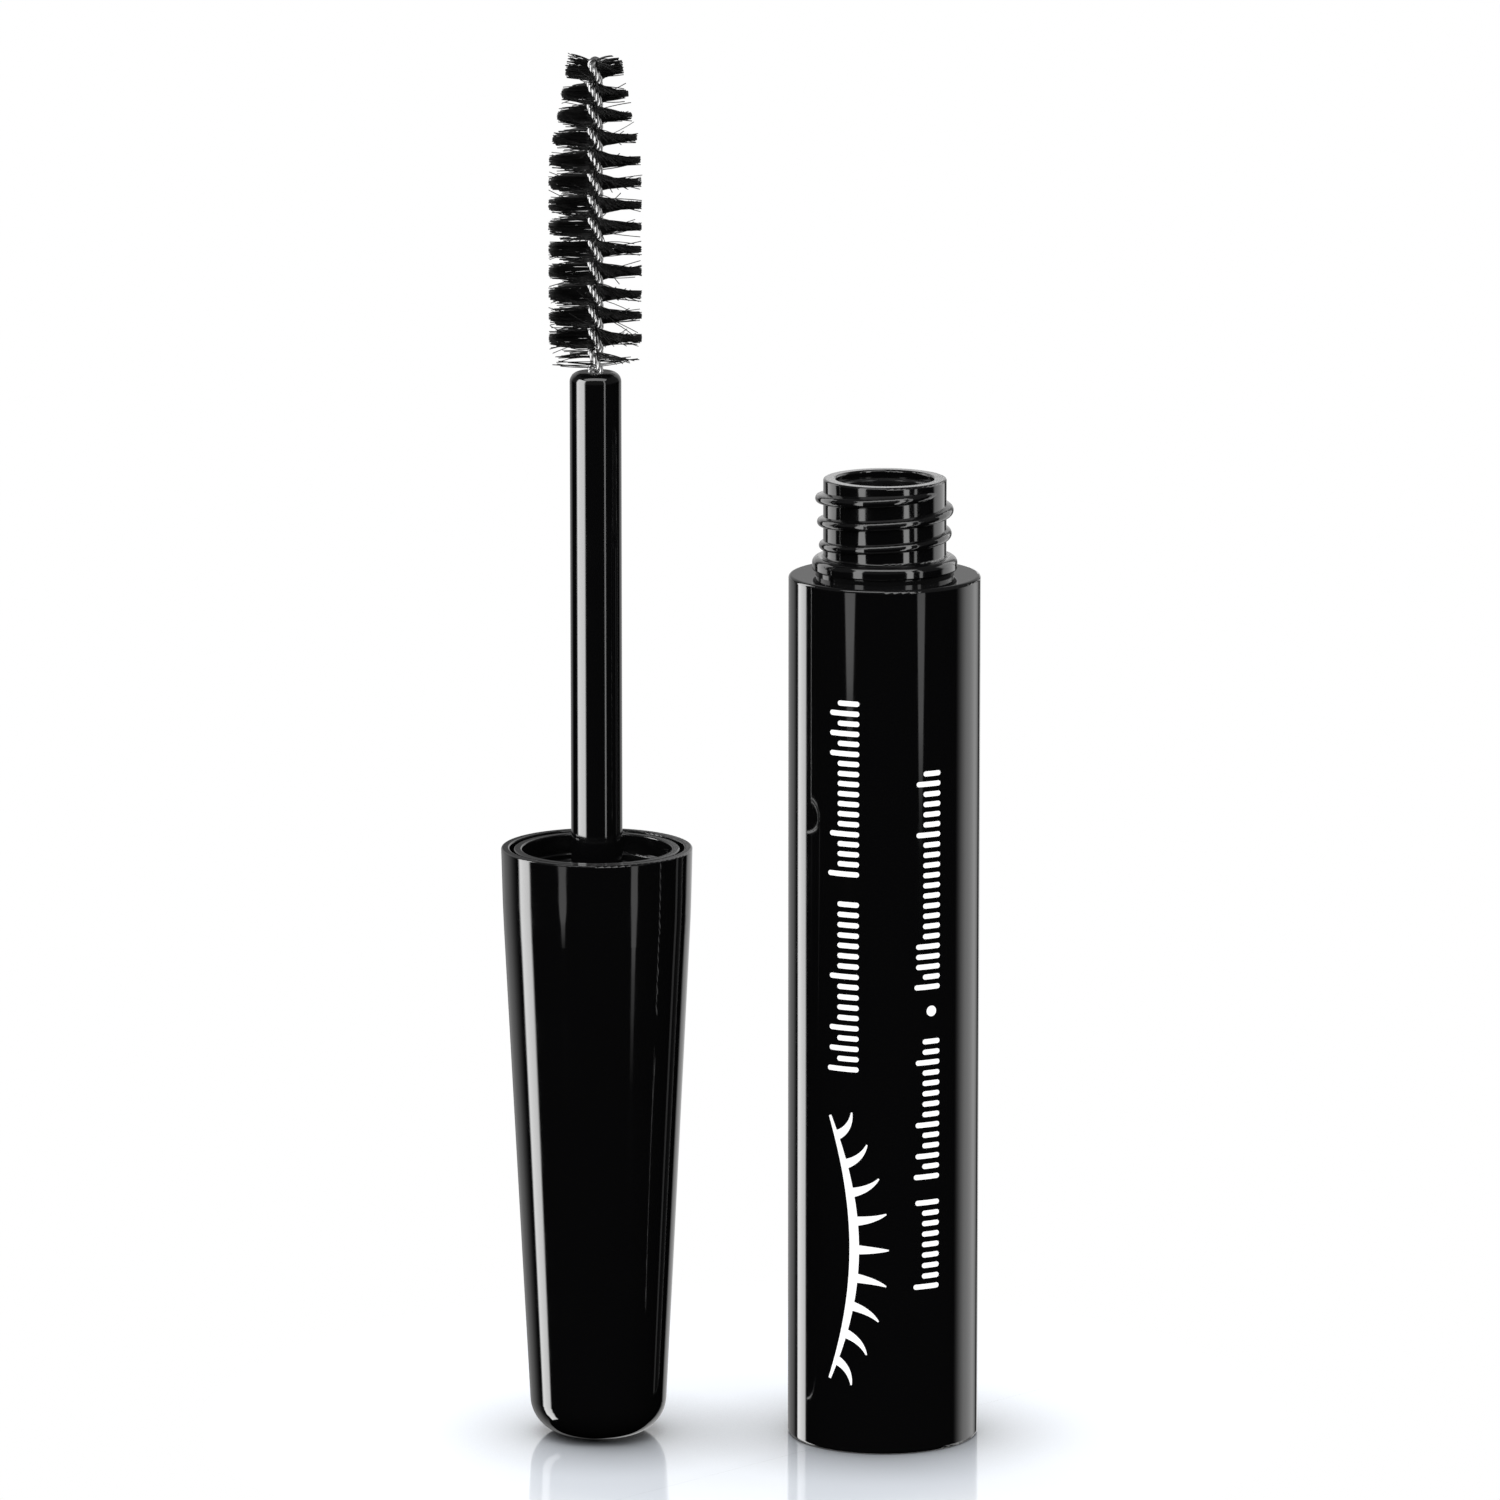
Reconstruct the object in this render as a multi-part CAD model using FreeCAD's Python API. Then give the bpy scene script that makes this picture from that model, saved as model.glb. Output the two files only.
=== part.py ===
import FreeCAD, Part
import math
import os

# A mascara tube, opened: a screw-necked bottle, and its wand stood upside down on its cap beside it.
# Millimetres, +Z up.  The origin is the centre of the bottle's base, on the table.
# Every piece of the wand is made about Z with the cap's closed end at z = 0, and then moved to WAND_X.

V = FreeCAD.Vector
POINTS_PER_TURN = 32

# Bottle
BODY_DIA = 17.0
SHOULDER_Z = 78.1
SHELL_WALL = 1.1
SHOULDER_THICKNESS = 1.2
SHELL_EDGE = 0.3
FIT = 0.1
CLOSE_FIT = 0.02

# Neck of the vial
NECK_HEIGHT = 8.6
NECK_DIA = 10.9
NECK_BORE = 8.65
LIP_EDGE = 0.2
BEAD_DIA = 12.85
BEAD_TOP_BELOW_LIP = 6.95
BEAD_FOOT_BELOW_LIP = 8.15
BEAD_EDGE = 0.6
UNDERCUT_DIA = 12.2

# Screw thread, right-handed
PITCH = 2.1
THREAD_HEIGHT = 0.78
THREAD_FADE = 0.45
THREAD_HALF_BASE = 0.62
THREAD_HALF_CREST = 0.42
THREAD_TURNS = 2.75
THREAD_START = math.radians(71)
THREAD_TOP_BELOW_LIP = 0.85
FADE_TURNS = 0.25
THREAD_SINK = 0.15
THREAD_BURY = 0.06

# Vial and its fill
VIAL_WALL = 1.2
VIAL_FLOOR_Z = 5.4
NECK_BORE_FOOT_Z = 74.4
FILL_LEVEL_Z = 52.0

# Base plug
PLUG_FLOOR = 2.0
PLUG_SKIRT_WALL = 1.2
PLUG_BEAD = 0.15

# Wiper
WIPER_TOP_BELOW_LIP = 0.7
WIPER_WALL = 0.55
WIPER_ORIFICE = 4.4
WIPER_LIP = 0.4
WIPER_FUNNEL_TOP_Z = 80.5
WIPER_ORIFICE_Z = 76.3
WIPER_FOOT_Z = 73.6
WIPER_CATCH = 0.25

# Cap
WAND_X = -25.5
CAP_LENGTH = 53.5
CAP_RIM_DIA = 17.0
CAP_BREAK_BELOW_RIM = 6.0
CAP_BREAK_DIA = 16.7
CAP_TAPER = 0.0505
CAP_BREAK_ROUND = 120.0
CAP_END_ROUND = 3.3
CAP_END_DOME = 0.12
CAP_EDGE = 0.15
CAP_MOUTH_WALL = 0.75
CAP_MOUTH_DEPTH = 2.5
CAP_WALL = 1.3
CAP_END_WALL = 2.0

# Inner cap
LINER_DIA = 14.8
LINER_MOUTH_BORE = 13.3
LINER_MOUTH_DEPTH = 1.8
LINER_BORE = 12.7
LINER_BELOW_RIM = 0.1
LINER_TOP_WALL = 1.2
CLOSED_RIM_GAP = 0.2
LINER_THREAD_HEIGHT = 0.6
LINER_THREAD_TURNS = 1.5
LINER_THREAD_FROM_RIM = 2.2
SOCKET_DIA = 7.8
SOCKET_DEPTH = 11.4
WASHER_THICKNESS = 1.0
WASHER_DIA = 12.6

# Rod
ROD_DIA = 4.56
ROD_ABOVE_RIM = 42.7
ROD_TIP_ROUND = 0.9
ROD_CATCH = 0.25
ROD_CATCH_HEIGHT = 0.8
ROD_CATCH_FROM_WALL = 6.0
RUNNING_GAP = 0.06
WIRE_HOLE_DEPTH = 10.0

# Brush
BRUSH_LENGTH = 27.9
BRUSH_DIA = 8.0
ROW_COUNT = 14
ROW_SPACING = 1.97
TAPERED_ROWS = (7.9, 7.2, 6.35, 5.7, 4.8)
ROW_THICKNESS = 1.0
ROW_HUB_DIA = 2.6
STRAND_DIA = 0.7
STRAND_GAP = 0.06
TURNS_PER_ROW = 0.5

# Heights that follow from the sizes above
LIP_Z = SHOULDER_Z + NECK_HEIGHT
BEAD_TOP_Z = LIP_Z - BEAD_TOP_BELOW_LIP
BEAD_FOOT_Z = LIP_Z - BEAD_FOOT_BELOW_LIP
SHELL_BORE = BODY_DIA - 2 * SHELL_WALL
VIAL_DIA = SHELL_BORE - 2 * FIT
VIAL_BORE = VIAL_DIA - 2 * VIAL_WALL
VIAL_FOOT_Z = VIAL_FLOOR_Z - VIAL_WALL
VIAL_SHOULDER_Z = SHOULDER_Z - SHOULDER_THICKNESS - CLOSE_FIT
LINER_MOUTH_Z = CAP_LENGTH - LINER_BELOW_RIM
LIP_Z_IN_CAP = CAP_LENGTH - (NECK_HEIGHT - CLOSED_RIM_GAP)
LINER_CEILING_Z = LIP_Z_IN_CAP - WASHER_THICKNESS
LINER_BACK_Z = LINER_CEILING_Z - LINER_TOP_WALL
SOCKET_FOOT_Z = LINER_CEILING_Z - SOCKET_DEPTH
ROD_TOP_Z = CAP_LENGTH + ROD_ABOVE_RIM
ROD_FOOT_Z = SOCKET_FOOT_Z + CLOSE_FIT
BRUSH_TOP_Z = ROD_TOP_Z + BRUSH_LENGTH
STRAND_ORBIT = (STRAND_DIA + STRAND_GAP) / 2
WIRE_PITCH = ROW_SPACING / TURNS_PER_ROW
WIRE_HOLE_DIA = 2 * STRAND_ORBIT + STRAND_DIA + 2 * CLOSE_FIT


def corner_arc(before, corner, after, radius):
    """The arc that rounds a corner of an outline, as its start, middle and end."""
    to_before = (before - corner).normalize()
    to_after = (after - corner).normalize()
    half_angle = to_before.getAngle(to_after) / 2
    inward = (to_before + to_after).normalize()
    centre = corner + inward * (radius / math.sin(half_angle))
    run = radius / math.tan(half_angle)
    return corner + to_before * run, centre - inward * radius, corner + to_after * run


def turned(outline):
    """A solid of revolution about Z.  The outline's points are (radius, z) or (radius, z, rounding)."""
    corners = [V(point[0], 0, point[1]) for point in outline]
    rounding = [point[2] if len(point) > 2 else 0 for point in outline]
    count = len(corners)
    arcs = []
    for i in range(count):
        if rounding[i]:
            arcs.append(corner_arc(corners[i - 1], corners[i], corners[(i + 1) % count], rounding[i]))
        else:
            arcs.append((corners[i], None, corners[i]))
    edges = []
    for i in range(count):
        start, middle, end = arcs[i]
        if middle is not None:
            edges.append(Part.Arc(start, middle, end).toShape())
        edges.append(Part.makeLine(end, arcs[(i + 1) % count][0]))
    return Part.Face(Part.Wire(edges)).revolve(V(0, 0, 0), V(0, 0, 1), 360)


def smooth_spine(points, span):
    """A smooth curve through points, as a wire with one edge for each span of points."""
    curve = Part.BSplineCurve()
    curve.interpolate(points)
    knots = curve.getKnots()
    stops = knots[:-1:span] + knots[-1:]
    return Part.Wire([curve.toShape(low, high) for low, high in zip(stops, stops[1:])])


def thread_ridge(root_radius, height, start_z, start_angle, turns, fade):
    """One right-handed screw ridge on a wall.  A negative height points it inward.

    It sinks into the wall at both ends, and its crest is lower by fade at its first, lower end.
    """
    steps = round(turns * POINTS_PER_TURN)
    side = math.copysign(1, height)

    def out(angle):
        turn = angle / (2 * math.pi)
        from_end = min(turn, turns - turn)
        ramp = max(0.0, 1 - from_end / FADE_TURNS)
        lower = fade * (1 - turn / turns)
        buried = abs(height) + THREAD_BURY
        return root_radius - side * (lower + (buried - lower) * ramp ** 2 * (3 - 2 * ramp))

    points = []
    for i in range(steps + 1):
        angle = 2 * math.pi * turns * i / steps
        across = out(angle)
        place = start_angle + angle
        z = start_z + PITCH * angle / (2 * math.pi)
        points.append(V(across * math.cos(place), across * math.sin(place), z))
    radial = V(math.cos(start_angle), math.sin(start_angle), 0) * side
    up = V(0, 0, 1)
    flank = abs(height) / 2

    def at(outward, along):
        return points[0] + radial * outward + up * along

    foot_low = at(-THREAD_SINK, -THREAD_HALF_BASE)
    foot_high = at(-THREAD_SINK, THREAD_HALF_BASE)
    flank_low = at(flank, -THREAD_HALF_CREST)
    flank_high = at(flank, THREAD_HALF_CREST)
    section = Part.Wire([
        Part.makeLine(foot_low, flank_low),
        Part.Arc(flank_low, at(abs(height), 0), flank_high).toShape(),
        Part.makeLine(flank_high, foot_high),
        Part.makeLine(foot_high, foot_low),
    ])
    sweep = Part.BRepOffsetAPI.MakePipeShell(smooth_spine(points, POINTS_PER_TURN // 4))
    sweep.setBiNormalMode(up)
    sweep.add(section)
    sweep.build()
    sweep.makeSolid()
    return sweep.shape()


def body_shell():
    """The glossy outer tube with its flat shoulder, open below, with a groove that holds the base plug."""
    outer = BODY_DIA / 2
    bore = SHELL_BORE / 2
    hole = UNDERCUT_DIA / 2 + CLOSE_FIT
    groove = bore + PLUG_BEAD
    groove_z = PLUG_FLOOR
    return turned([
        (outer, 0, SHELL_EDGE),
        (outer, SHOULDER_Z, SHELL_EDGE),
        (hole, SHOULDER_Z),
        (hole, SHOULDER_Z - SHOULDER_THICKNESS),
        (bore, SHOULDER_Z - SHOULDER_THICKNESS),
        (bore, groove_z + 4 * PLUG_BEAD),
        (groove, groove_z + 3 * PLUG_BEAD),
        (groove, groove_z + PLUG_BEAD),
        (bore, groove_z),
        (bore, 0, SHELL_EDGE),
    ])


def base_plug():
    """The disc that closes the shell from below.  Its skirt carries the vial, and its bead snaps in."""
    radius = SHELL_BORE / 2 - CLOSE_FIT
    skirt_bore = radius - PLUG_SKIRT_WALL
    top = VIAL_FOOT_Z - CLOSE_FIT
    bead = radius + PLUG_BEAD
    return turned([
        (0, 0),
        (radius, 0, SHELL_EDGE),
        (radius, PLUG_FLOOR),
        (bead, PLUG_FLOOR + PLUG_BEAD),
        (bead, PLUG_FLOOR + 3 * PLUG_BEAD),
        (radius, PLUG_FLOOR + 4 * PLUG_BEAD),
        (radius, top, SHELL_EDGE),
        (skirt_bore, top),
        (skirt_bore, PLUG_FLOOR),
        (0, PLUG_FLOOR),
    ])


def vial():
    """The inner vial that holds the formula, with the threaded neck and the bead that locks the shell."""
    outer = VIAL_DIA / 2
    inner = VIAL_BORE / 2
    bore = NECK_BORE / 2
    undercut = UNDERCUT_DIA / 2
    neck = NECK_DIA / 2
    cone = inner - bore
    blank = turned([
        (0, VIAL_FOOT_Z),
        (outer, VIAL_FOOT_Z, 1.0),
        (outer, VIAL_SHOULDER_Z, SHELL_EDGE),
        (undercut, VIAL_SHOULDER_Z),
        (undercut, BEAD_FOOT_Z),
        (BEAD_DIA / 2, BEAD_FOOT_Z, LIP_EDGE),
        (BEAD_DIA / 2, BEAD_TOP_Z, BEAD_EDGE),
        (neck, BEAD_TOP_Z, LIP_EDGE),
        (neck, LIP_Z, LIP_EDGE),
        (bore, LIP_Z, LIP_EDGE),
        (bore, NECK_BORE_FOOT_Z),
        (inner, NECK_BORE_FOOT_Z - cone),
        (inner, VIAL_FLOOR_Z, 1.0),
        (0, VIAL_FLOOR_Z),
    ])
    ridge = thread_ridge(neck, THREAD_HEIGHT, NECK_THREAD_Z, THREAD_START, THREAD_TURNS, THREAD_FADE)
    return blank.fuse(ridge).removeSplitter()


def wiper():
    """The flexible sleeve in the neck.  Its thin funnel strips the rod and brush as they are drawn."""
    outer = NECK_BORE / 2 - CLOSE_FIT
    bore = outer - WIPER_WALL
    orifice = WIPER_ORIFICE / 2
    top = LIP_Z - WIPER_TOP_BELOW_LIP
    catch = outer + WIPER_CATCH
    catch_z = NECK_BORE_FOOT_Z - 2 * WIPER_CATCH
    return turned([
        (outer, top, LIP_EDGE),
        (bore, top, LIP_EDGE),
        (bore, WIPER_FUNNEL_TOP_Z, 1.0),
        (orifice, WIPER_ORIFICE_Z),
        (orifice, WIPER_ORIFICE_Z - WIPER_LIP),
        (bore, WIPER_FUNNEL_TOP_Z - 2 * WIPER_LIP),
        (bore, WIPER_FOOT_Z, LIP_EDGE),
        (catch, WIPER_FOOT_Z),
        (catch, catch_z),
        (outer, NECK_BORE_FOOT_Z),
    ])


def formula():
    """The fill of mascara, hollowed a little on top where the brush was drawn out."""
    radius = VIAL_BORE / 2 - FIT
    foot = VIAL_FLOOR_Z + FIT
    hollow = BRUSH_DIA / 2
    return turned([
        (0, foot),
        (radius, foot, 1.0),
        (radius, FILL_LEVEL_Z),
        (hollow, FILL_LEVEL_Z, 1.0),
        (0, FILL_LEVEL_Z - hollow),
    ])


def cap_radius(z):
    """The cap's outer radius on its long straight taper."""
    return CAP_BREAK_DIA / 2 - CAP_TAPER * (CAP_LENGTH - CAP_BREAK_BELOW_RIM - z)


def cap_shell():
    """The tapered outer cap.  A step inside grips the inner cap, and the rest is hollow."""
    rim = CAP_RIM_DIA / 2
    mouth = rim - CAP_MOUTH_WALL
    grip = LINER_DIA / 2 + CLOSE_FIT
    stop_z = LINER_BACK_Z - CLOSE_FIT
    hollow_top = cap_radius(stop_z) - CAP_WALL
    hollow_end = cap_radius(CAP_END_WALL) - CAP_WALL
    return turned([
        (0, 0),
        (cap_radius(0) - CAP_END_ROUND, 0),
        (cap_radius(0), CAP_END_DOME, CAP_END_ROUND),
        (CAP_BREAK_DIA / 2, CAP_LENGTH - CAP_BREAK_BELOW_RIM, CAP_BREAK_ROUND),
        (rim, CAP_LENGTH, CAP_EDGE),
        (mouth, CAP_LENGTH, CAP_EDGE),
        (mouth, CAP_LENGTH - CAP_MOUTH_DEPTH),
        (grip, CAP_LENGTH - CAP_MOUTH_DEPTH, CAP_EDGE),
        (grip, stop_z),
        (hollow_top, stop_z, CAP_EDGE),
        (hollow_end, CAP_END_WALL, CAP_END_ROUND - CAP_WALL),
        (0, CAP_END_WALL),
    ])


def inner_cap():
    """The threaded liner: a skirt that screws on the neck, a ceiling, and a socket for the rod."""
    outer = LINER_DIA / 2
    mouth = LINER_MOUTH_BORE / 2
    bore = LINER_BORE / 2
    socket = SOCKET_DIA / 2
    hole = ROD_DIA / 2 + CLOSE_FIT
    catch = hole + ROD_CATCH
    catch_z = LINER_CEILING_Z - ROD_CATCH_FROM_WALL
    blank = turned([
        (0, SOCKET_FOOT_Z - LINER_TOP_WALL),
        (socket, SOCKET_FOOT_Z - LINER_TOP_WALL, 1.0),
        (socket, LINER_BACK_Z, LIP_EDGE),
        (outer, LINER_BACK_Z, LIP_EDGE),
        (outer, LINER_MOUTH_Z, CAP_EDGE),
        (mouth, LINER_MOUTH_Z, CAP_EDGE),
        (mouth, CAP_LENGTH - LINER_MOUTH_DEPTH),
        (bore, CAP_LENGTH - LINER_MOUTH_DEPTH, CAP_EDGE),
        (bore, LINER_CEILING_Z),
        (hole, LINER_CEILING_Z),
        (hole, catch_z + ROD_CATCH),
        (catch, catch_z),
        (catch, catch_z - ROD_CATCH_HEIGHT),
        (hole, catch_z - ROD_CATCH_HEIGHT - ROD_CATCH),
        (hole, SOCKET_FOOT_Z),
        (0, SOCKET_FOOT_Z),
    ])
    ridge = thread_ridge(bore, -LINER_THREAD_HEIGHT, LINER_THREAD_Z, 0, LINER_THREAD_TURNS, 0)
    return blank.fuse(ridge).removeSplitter()


def seal_washer():
    """The soft ring under the inner cap's ceiling that closes on the neck's lip.  It turns on the rod."""
    bore = ROD_DIA / 2 + RUNNING_GAP
    low = LINER_CEILING_Z + CLOSE_FIT
    high = LIP_Z_IN_CAP - CLOSE_FIT
    return turned([
        (bore, low),
        (WASHER_DIA / 2, low, CAP_EDGE),
        (WASHER_DIA / 2, high, CAP_EDGE),
        (bore, high),
    ])


def rod():
    """The straight stem, with a ring that snaps into the socket and a blind hole for the wire."""
    radius = ROD_DIA / 2
    hole = WIRE_HOLE_DIA / 2
    catch = radius + ROD_CATCH
    catch_z = LINER_CEILING_Z - ROD_CATCH_FROM_WALL
    hole_foot = ROD_TOP_Z - WIRE_HOLE_DEPTH
    return turned([
        (0, ROD_FOOT_Z),
        (radius, ROD_FOOT_Z, LIP_EDGE),
        (radius, catch_z - ROD_CATCH_HEIGHT - ROD_CATCH),
        (catch, catch_z - ROD_CATCH_HEIGHT),
        (catch, catch_z),
        (radius, catch_z + ROD_CATCH),
        (radius, ROD_TOP_Z, ROD_TIP_ROUND),
        (hole, ROD_TOP_Z),
        (hole, hole_foot),
        (0, hole_foot),
    ])


def strand_point(z, half_turn):
    """The middle of one strand of the left-hand twist at a height."""
    angle = math.pi * half_turn - 2 * math.pi * (z - ROD_TOP_Z) / WIRE_PITCH
    return V(STRAND_ORBIT * math.cos(angle), STRAND_ORBIT * math.sin(angle), z)


def core_wire():
    """One length of wire, folded at the tip and twisted left-handed, with its ends in the rod."""
    low = ROD_TOP_Z - WIRE_HOLE_DEPTH + STRAND_DIA / 2
    fold = BRUSH_TOP_Z - STRAND_DIA / 2 - STRAND_ORBIT
    steps = round((fold - low) / WIRE_PITCH * POINTS_PER_TURN)
    heights = [low + (fold - low) * i / steps for i in range(steps + 1)]
    up = [strand_point(z, 0) for z in heights]
    down = [strand_point(z, 1) for z in reversed(heights)]
    across = up[-1] - V(0, 0, fold)
    bend = []
    for i in range(1, 6):
        swing = math.pi * i / 6
        bend.append(V(0, 0, fold) + across * math.cos(swing) + V(0, 0, STRAND_ORBIT) * math.sin(swing))
    spine_points = up + bend + down
    along = (spine_points[1] - spine_points[0]).normalize()
    section = Part.Wire(Part.makeCircle(STRAND_DIA / 2, spine_points[0], along))
    sweep = Part.BRepOffsetAPI.MakePipeShell(smooth_spine(spine_points, POINTS_PER_TURN // 4))
    sweep.add(section)
    sweep.build()
    sweep.makeSolid()
    return sweep.shape()


def bristles():
    """The brush's envelope: one ring for each row of nylon bristles, on a thin hub around the wire."""
    hub = ROW_HUB_DIA / 2
    bore = WIRE_HOLE_DIA / 2
    full_rows = ROW_COUNT - len(TAPERED_ROWS)
    diameters = [BRUSH_DIA] * full_rows + list(TAPERED_ROWS)
    top = BRUSH_TOP_Z - STRAND_DIA
    half = ROW_THICKNESS / 2
    first = top - half - ROW_SPACING * (ROW_COUNT - 1)
    outline = [(bore, top), (bore, first - half)]
    for i in range(ROW_COUNT):
        z = first + ROW_SPACING * i
        radius = diameters[i] / 2
        outline.append((hub, z - half))
        outline.append((radius, z - half / 2))
        outline.append((radius, z + half / 2))
        outline.append((hub, z + half))
    outline[-1] = (hub, top)
    return turned(outline)


# The neck's thread starts near the lip and runs down.  The liner's thread is placed so that the two mesh
# with their ridges midway between each other when the wand is turned over and the cap is closed.
NECK_THREAD_Z = LIP_Z - THREAD_TOP_BELOW_LIP - PITCH * THREAD_TURNS
CLOSED_SUM = SHOULDER_Z + CLOSED_RIM_GAP + CAP_LENGTH
LINER_THREAD_LOWEST = CAP_LENGTH - LINER_THREAD_FROM_RIM - PITCH * LINER_THREAD_TURNS
NECK_THREAD_AT_ZERO = NECK_THREAD_Z - PITCH * THREAD_START / (2 * math.pi)
LINER_THREAD_SHIFT = (CLOSED_SUM - NECK_THREAD_AT_ZERO - LINER_THREAD_LOWEST) % PITCH
LINER_THREAD_Z = LINER_THREAD_LOWEST + LINER_THREAD_SHIFT - PITCH

BOTTLE_PIECES = (body_shell, base_plug, vial, wiper, formula)
WAND_PIECES = (cap_shell, inner_cap, seal_washer, rod, core_wire, bristles)

os.makedirs("parts", exist_ok=True)
for piece in BOTTLE_PIECES + WAND_PIECES:
    shape = piece()
    if piece in WAND_PIECES:
        shape.translate(V(WAND_X, 0, 0))
    shape.exportStep("parts/" + piece.__name__ + ".step")
    print(piece.__name__, shape.ShapeType, len(shape.Solids), shape.isValid(), round(shape.Volume, 2))
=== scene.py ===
import math

import bpy
import numpy as np
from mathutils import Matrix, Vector


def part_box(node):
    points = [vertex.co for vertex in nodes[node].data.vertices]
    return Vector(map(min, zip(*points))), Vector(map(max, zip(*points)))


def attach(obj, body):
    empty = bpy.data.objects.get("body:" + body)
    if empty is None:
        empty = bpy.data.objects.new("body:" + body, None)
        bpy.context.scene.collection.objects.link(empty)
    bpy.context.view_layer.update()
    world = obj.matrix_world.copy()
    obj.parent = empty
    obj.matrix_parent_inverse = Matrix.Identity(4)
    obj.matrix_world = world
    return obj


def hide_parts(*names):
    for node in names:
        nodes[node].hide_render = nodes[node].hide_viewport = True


# A mascara tube, opened, on a white table: the bottle, and the wand stood on its cap beside it.
# Lengths are in metres, with MM for sizes that are thought of in millimetres.

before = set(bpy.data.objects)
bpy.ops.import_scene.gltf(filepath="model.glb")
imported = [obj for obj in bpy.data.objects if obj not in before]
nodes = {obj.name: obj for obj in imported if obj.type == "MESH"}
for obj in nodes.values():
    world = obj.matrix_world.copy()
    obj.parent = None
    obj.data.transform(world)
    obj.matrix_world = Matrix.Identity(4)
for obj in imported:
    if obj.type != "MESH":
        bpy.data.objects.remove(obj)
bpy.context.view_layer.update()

MM = 0.001
TAU = 2 * math.pi
UPWARD = np.array([0, 0, 1])

# Places that the frame gives
body_low, body_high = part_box("body_shell")
cap_low, cap_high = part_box("cap_shell")
BODY_RADIUS = (body_high.x - body_low.x) / 2
BOTTLE_X = (body_high.x + body_low.x) / 2
WAND_X = (cap_high.x + cap_low.x) / 2
ROD_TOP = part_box("rod")[1].z
WIRE_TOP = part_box("core_wire")[1].z

# The twisted wire: two strands, each of three fine wires laid together
ROW_SPACING = 1.97 * MM
TWIST_PITCH = 2 * ROW_SPACING
STRAND_RADIUS = 0.36 * MM
STRAND_ORBIT = 0.38 * MM
STRAND_STEPS = 520
FOLD_STEPS = 14
WIRE_INSIDE_ROD = 2.0 * MM
FINE_WIRES = 3
FINE_WIRE_RADIUS = 0.172 * MM
FINE_WIRE_SIDES = 8
LAY_PITCH = 1.75 * MM

# The brush
BRUSH_ROWS = 14
FILAMENTS_PER_ROW = 124
FILAMENT_RADIUS = 0.042 * MM
FILAMENT_THICKNESS = (0.85, 1.12)
FILAMENT_RINGS = 6
FILAMENT_SIDES = 5
FILAMENT_ROOT = 0.15 * MM
ROOT_SPREAD = 0.1 * MM
BRUSH_TOP = WIRE_TOP - 0.55 * MM
BRUSH_FOOT = ROD_TOP + 0.55 * MM
OUTLINE_DEPTH = (-1.0, 0.0, 0.6, 1.2, 3.2, 5.2, 7.2, 9.2, 11.5, 40.0)
OUTLINE_RADIUS = (1.2, 1.75, 2.25, 2.5, 2.92, 3.27, 3.7, 4.02, 4.1, 4.1)
TRIM_MEAN = 0.985
TRIM_SPREAD = 0.03

# GATHER draws filaments round towards a row's middle, and BUNDLE pulls their tips level with it
GATHER = 0.37
BUNDLE = 0.62

# Near the top the filaments fan upwards, and near the foot most are missing or short
TIP_FAN = 1.5 * MM
TIP_FAN_RISE = (-0.15, 0.6)
SPARSE_FOOT = 1.6 * MM
SPARSE_MISSING = 0.72
SPARSE_TRIM = (0.55, 1.0)

# How far filaments stray, as standard deviations: azimuth in radians, the others as slopes
TIDY = {"azimuth": 0.08, "rise": 0.026, "droop": 0.018, "swirl": 0.04}
LOOSE = {"azimuth": 0.16, "rise": 0.13, "droop": 0.08, "swirl": 0.10}
LOOSE_SHARE = 0.07
BRISTLE_SEED = 11

# The print, in millimetres: u goes round the body from its front, and v goes up it.  The ink is a thin
# sheet that stands INK_LIFT out of the wall and goes as far into it.
INK_LIFT = 0.02 * MM
INK_STEPS_ACROSS = 6
BAR_END_STEPS = 8
BAR_END_NARROWEST = 0.02
STROKE_STEPS = 14
LID_STEPS = 40
BAR_STEP = 0.92
BAR_WIDTH = 0.46
BAR_HEIGHTS = (0.68, 0.68, 0.68, 0.68, 0.94)
PRINT_SEED = 5
LEFT_LINE_U = -3.35
LEFT_LINE_HEIGHT = 3.0
LEFT_WORDS = ((34.8, 50.6), (52.4, 68.6))
RIGHT_LINE_U = 4.3
RIGHT_LINE_HEIGHT = 2.5
RIGHT_WORDS = ((15.0, 23.6), (25.0, 38.2), (42.2, 62.3))
DOT_LOW = 39.75
DOT_SIZE = 0.95
ORNAMENT_U = -2.5
ORNAMENT_V = 18.7
ORNAMENT_LENGTH = 24.0
LID_OFFSET = 2.6
LID_SAG = 2.4
LID_WIDTHS = (0.25, 1.5, 0.25)
LASHES = 9
LASH_SPAN = 0.86
LASH_FAN = 0.95
LASH_LENGTH = 3.1
LASH_SHORTENING = 0.5
LASH_WIDTHS = (0.85, 0.6, 0.12)
LASH_INSET = 0.2
LASH_BEND_OUT = 0.65
LASH_BEND_UP = 0.45
LASH_BEND_FAN = 0.6

# The camera stands in front, a little above, with a long lens
CAMERA_TILT = math.radians(11.1)
CAMERA_DISTANCE = 0.9
FRAME_WIDTH = 132.95 * MM
SENSOR_MM = 36.0
CLIP_START = 0.01
LOOK_AT = Vector((-11.9 * MM, 0, 62.25 * MM))

# Light cards stand this far from an object's axis.  FALL is how far a ray that leaves the camera
# drops on its way from the object to a card.
CARD_DISTANCE = 0.5
FALL = CARD_DISTANCE * math.tan(CAMERA_TILT)

# Heights of the cards' feet and tops
TALL = (-0.45, 0.45)
LOW = (-0.45, 0.12)
UP_HIGH = (0.08, 0.5)
BOTTLE_LEFT_STREAK = (64 * MM - FALL, 0.0)
BOTTLE_RIGHT_STREAK = (52 * MM - FALL, 0.0)
CAP_LEFT_STREAK = (-106 * MM, -55 * MM)
CAP_RIGHT_STREAK = (-130 * MM, -55 * MM)

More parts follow.
